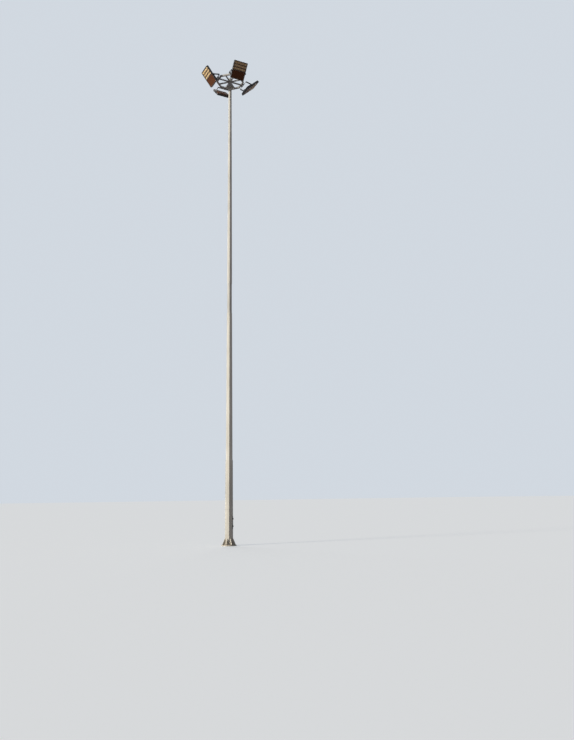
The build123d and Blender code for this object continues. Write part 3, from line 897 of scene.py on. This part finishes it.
door_seal = Shape()
seal_front = -DOOR_LEAF - CLEARANCE
seal_rings = [
    seal_ring(0, seal_front - SEAL_THICKNESS),
    seal_ring(0, seal_front),
    seal_ring(SEAL_WIDTH - SEAL_BEVEL, seal_front),
    seal_ring(SEAL_WIDTH, seal_front - SEAL_BEVEL),
    seal_ring(SEAL_WIDTH, seal_front - SEAL_THICKNESS),
]
count = len(seal_rings[0])
door_seal.points = [door_front @ point for ring in seal_rings for point in ring]
for k in range(len(seal_rings)):
    door_seal.band(k * count, (k + 1) % len(seal_rings) * count, count)
door_seal.piece("door_seal", rubber, "mast")

PIN_HEAD = 0.0046
PIN_HEAD_PROFILE = ((PIN_HEAD, 0), (PIN_HEAD, 0.0014), (PIN_HEAD * 0.65, 0.0028))
STRAP_FRONT = 0.003
STRAP_SCREW = (0.0028, 0.0016)
STRAP_SCREWS_X = (0.012, 0.024)
hinge_place = Matrix.Translation(JOINTS["service_door_hinge"]["pos_m"])
pin_heads = Shape()
strap_screws = Shape()
for level in (-HINGE_SPACING / 2, HINGE_SPACING / 2):
    for flip in (0, math.pi):
        head = hinge_place @ shift(0, 0, level) @ Matrix.Rotation(flip, 4, "X") @ shift(0, 0, HINGE_HALF)
        pin_heads.turned(PIN_HEAD_PROFILE, SCREW_SIDES, head)
    for x in STRAP_SCREWS_X:
        strap_screws.screw(door_front @ shift(x, level, STRAP_FRONT), *STRAP_SCREW)
pin_heads.piece("hinge_pin_heads", bolt_zinc, "mast")
strap_screws.piece("door_strap_screws", bolt_zinc, "service_door")


# Lamps
def lamp_place(side):
    """The lamp's plane at rest, on its pivot: x across it, y up its face and z out of it."""
    joint = JOINTS[f"lamp_{side}_tilt"]
    across = Vector(joint["axis"])
    lens_faces = frame["nodes"][f"lamp_lenses_{side}"].data.polygons
    looking_down = [face for face in lens_faces if face.normal.z < 0]
    outward = max(looking_down, key=lambda face: face.area).normal.copy()
    axes = Matrix((across, outward.cross(across), outward)).transposed().to_4x4()
    return Matrix.Translation(joint["pos_m"]) @ axes


OPTIC_ROWS = 2
OPTIC_COLUMNS = 14
OPTIC_SIDES = 12
OPTIC_RADIUS = 0.0105
OPTIC_LENGTHENED = 1.25
OPTIC_RISE = 0.0045
OPTIC_PROFILE = (
    (1.00, 0.00), (0.98, 0.40), (0.89, 0.76), (0.72, 1.00), (0.52, 0.98), (0.38, 0.80), (0.33, 0.45),
)
CHIP_SIZE = 0.0050
CHIP_CHAMFER = CHIP_SIZE / 6
CHIP_RISE = 0.0006


def add_optics(side, place):
    """Rows of moulded optics on the lenses, each dished over its emitter's chip."""
    optics = Shape(place)
    chips = Shape(place)
    dome = []
    for share, climb in OPTIC_PROFILE:
        ring = circle(OPTIC_RADIUS * share, OPTIC_SIDES, OPTIC_RISE * climb)
        dome.append([Vector((point.x * OPTIC_LENGTHENED, point.y, point.z)) for point in ring])
    dish = OPTIC_RISE * OPTIC_PROFILE[-1][1]
    outline = chamfered_box(CHIP_SIZE, CHIP_SIZE, CHIP_CHAMFER)
    chip = [
        [point + Vector((0, 0, dish + rise)) for point in outline]
        for rise in (-CHIP_RISE, CHIP_RISE)
    ]
    for level in MODULE_LEVELS:
        for row in range(OPTIC_ROWS):
            for column in range(OPTIC_COLUMNS):
                x = LENS_SIZE[0] * ((column + 0.5) / OPTIC_COLUMNS - 0.5)
                y = level + LENS_SIZE[1] * ((row + 0.5) / OPTIC_ROWS - 0.5)
                seat = shift(x, y, LENS_FRONT - CLEARANCE)
                optics.skin(dome, seat)
                chips.skin(chip, seat)
    optics.piece(f"lamp_optics_{side}", clear_optic, f"lamp_{side}")
    chips.piece(f"lamp_chips_{side}", yellow_chip, f"lamp_{side}")


THIN_FINS = 2
THIN_FIN = 0.0016
THIN_FIN_DEPTH = 0.050
THIN_FIN_SHORT = 0.002
FIN_ROOT = 0.004
FIN_PITCH = (MODULE_WIDTH - FIN_ROOT) / (FIN_COUNT - 1)


def add_thin_fins(side, place):
    """Thinner fins between the heat sinks' main ones."""
    thin_fins = Shape(place)
    y = MODULE_HEIGHT / 2 - THIN_FIN_SHORT
    tip = (THIN_FIN / 3, MODULE_BACK - THIN_FIN_DEPTH)
    root = (THIN_FIN / 2, MODULE_BACK)
    for level in MODULE_LEVELS:
        for gap in range(FIN_COUNT - 1):
            for extra in range(1, THIN_FINS + 1):
                x = -MODULE_WIDTH / 2 + FIN_ROOT / 2 + FIN_PITCH * (gap + extra / (THIN_FINS + 1))
                thin_fins.skin([
                    [(x + half * i, level + y * j, z) for i, j in SQUARE]
                    for half, z in (tip, root)
                ])
    thin_fins.piece(f"lamp_thin_fins_{side}", bronze_fins, f"lamp_{side}")


SPACER_GAP = 0.0038
SPACER_WIDTH = MODULE_WIDTH - 0.001
SPACER_BACK = 0.024
SPACER_FRONT = 0.032
SPACER_CHAMFER = 0.0003


def add_spacers(side, place):
    """Strips that close the gaps between the modules, and above and below them."""
    spacers = Shape(place)
    for k in range(MODULE_COUNT + 1):
        y = BAR_TOP + MODULE_PITCH * k
        low = y - (SPACER_GAP / 2 if k else -CLEARANCE / 3)
        high = y + (SPACER_GAP / 2 if k < MODULE_COUNT else -CLEARANCE / 3)
        section = chamfered_box(SPACER_WIDTH, high - low, SPACER_CHAMFER)
        middle = (low + high) / 2
        spacers.skin([
            [(point.x, point.y + middle, z) for point in section]
            for z in (SPACER_BACK, SPACER_FRONT)
        ])
    spacers.piece(f"lamp_spacers_{side}", rubber, f"lamp_{side}")


BAR_MIDDLE = (BAR_TOP + BAR_BOTTOM) / 2
CASE_SCREW = (0.0045, 0.0022)
RIM_SCREW_LEVELS = (LAMP_TOP - 0.030, 0.200, 0.110, BAR_MIDDLE, -0.090, LAMP_BOTTOM + 0.030)
COVER_SCREW_X = 0.232
COVER_SCREW_LEVELS = (-0.232, -0.105, 0.022)
MODULE_SCREW = (0.0032, 0.0018)
MODULE_SCREW_X = MODULE_WIDTH / 2 - 0.007
MODULE_SCREW_LEVEL = 0.038
BAR_SCREW = (0.0040, 0.0020)
BAR_SCREWS_X = (-0.16, 0.0, 0.16)


def add_lamp_screws(side, place):
    """Screws in the frame's rim and cross bar, the modules' ends and the driver's cover."""
    screws = Shape(place)
    for hand in (-1, 1):
        for y in RIM_SCREW_LEVELS:
            screws.screw(shift(hand * (LAMP_WIDTH - FRAME_RIM) / 2, y, FRAME_FRONT), *CASE_SCREW)
        for y in COVER_SCREW_LEVELS:
            screws.screw(shift(hand * COVER_SCREW_X, y, DRIVER_FRONT), *CASE_SCREW)
        for level in MODULE_LEVELS:
            for y in (level - MODULE_SCREW_LEVEL, level + MODULE_SCREW_LEVEL):
                screws.screw(shift(hand * MODULE_SCREW_X, y, MODULE_FACE), *MODULE_SCREW)
    for x in BAR_SCREWS_X:
        for y in (BAR_MIDDLE, LAMP_BOTTOM + FRAME_RIM / 2):
            screws.screw(shift(x, y, FRAME_FRONT), *BAR_SCREW)
    screws.piece(f"lamp_screws_{side}", bolt_zinc, f"lamp_{side}")


KNOB_LOBES = 6
LOBE_POINTS = 8
KNOB_RADIUS = 0.029
KNOB_WAIST = 0.0068
KNOB_NECK = 0.6
KNOB_PROFILE = (
    (0.60, 0.0000), (0.62, 0.0050), (0.94, 0.0062), (1.00, 0.0085), (1.00, 0.0165),
    (0.955, 0.0195), (0.84, 0.0212), (0.50, 0.0218), (0.40, 0.0212), (0.38, 0.0190),
)
KNOB_NUT = (0.013, 0.0028)
KNOB_NUT_SEAT = 0.0185


def add_knobs(side, place):
    """Lobed clamping knobs with a domed top, a neck behind it and a nut sunk in its middle."""
    knobs = Shape()
    nuts = Shape()
    rings = []
    for share, level in KNOB_PROFILE:
        lobed = max(0.0, (share - KNOB_NECK) / (1 - KNOB_NECK))
        ring = circle(1, KNOB_LOBES * LOBE_POINTS)
        for i, point in enumerate(ring):
            dip = KNOB_WAIST * lobed * (1 - math.cos(2 * math.pi * i / LOBE_POINTS)) / 2
            ring[i] = Vector((*(point.xy * (KNOB_RADIUS * share - dip)), level))
        rings.append(ring)
    for hand in (-1, 1):
        outward = place @ Matrix.Rotation(math.radians(hand * 90), 4, "Y")
        seat = outward @ shift(0, 0, YOKE_OUTSIDE + CLEARANCE)
        knobs.skin(rings, seat)
        nuts.hex_bolt(seat @ shift(0, 0, KNOB_NUT_SEAT), *KNOB_NUT)
    knob_pair = knobs.piece(f"lamp_knob_pair_{side}", knob_black, f"lamp_{side}")
    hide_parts(f"lamp_knobs_{side}")
    nuts.piece(f"lamp_knob_nuts_{side}", bolt_zinc, f"lamp_{side}")


GLAND_SIDES = 24
GLAND_WASHER = ((0.0185, 0), (0.0185, 0.0022), (0.0175, 0.0030))
GLAND_NUT = ((0.0166, 0.0120), (0.0166, 0.0235), (0.0150, 0.0260))
GLAND_BLANK = (
    (0.0128, GLAND_LENGTH), (0.0122, 0.0290), (0.0098, 0.0308), (0.0060, 0.0312), (0.0055, 0.0300),
)


def add_gland(side, place):
    """The washer, dome nut and blank of the cable gland on the driver's back."""
    gland = Shape(place @ shift(0, GLAND_LEVEL, DRIVER_BACK) @ Matrix.Rotation(math.pi, 4, "Y"))
    gland.turned(GLAND_WASHER, GLAND_SIDES)
    gland.turned(GLAND_NUT, HEX_SIDES)
    gland.turned(GLAND_BLANK, GLAND_SIDES)
    gland.piece(f"lamp_gland_{side}", rubber, f"lamp_{side}")


for side in LAMPS:
    place = lamp_place(side)
    add_optics(side, place)
    add_thin_fins(side, place)
    add_spacers(side, place)
    add_lamp_screws(side, place)
    add_knobs(side, place)
    add_gland(side, place)


bpy.context.scene.view_settings.view_transform = "Standard"
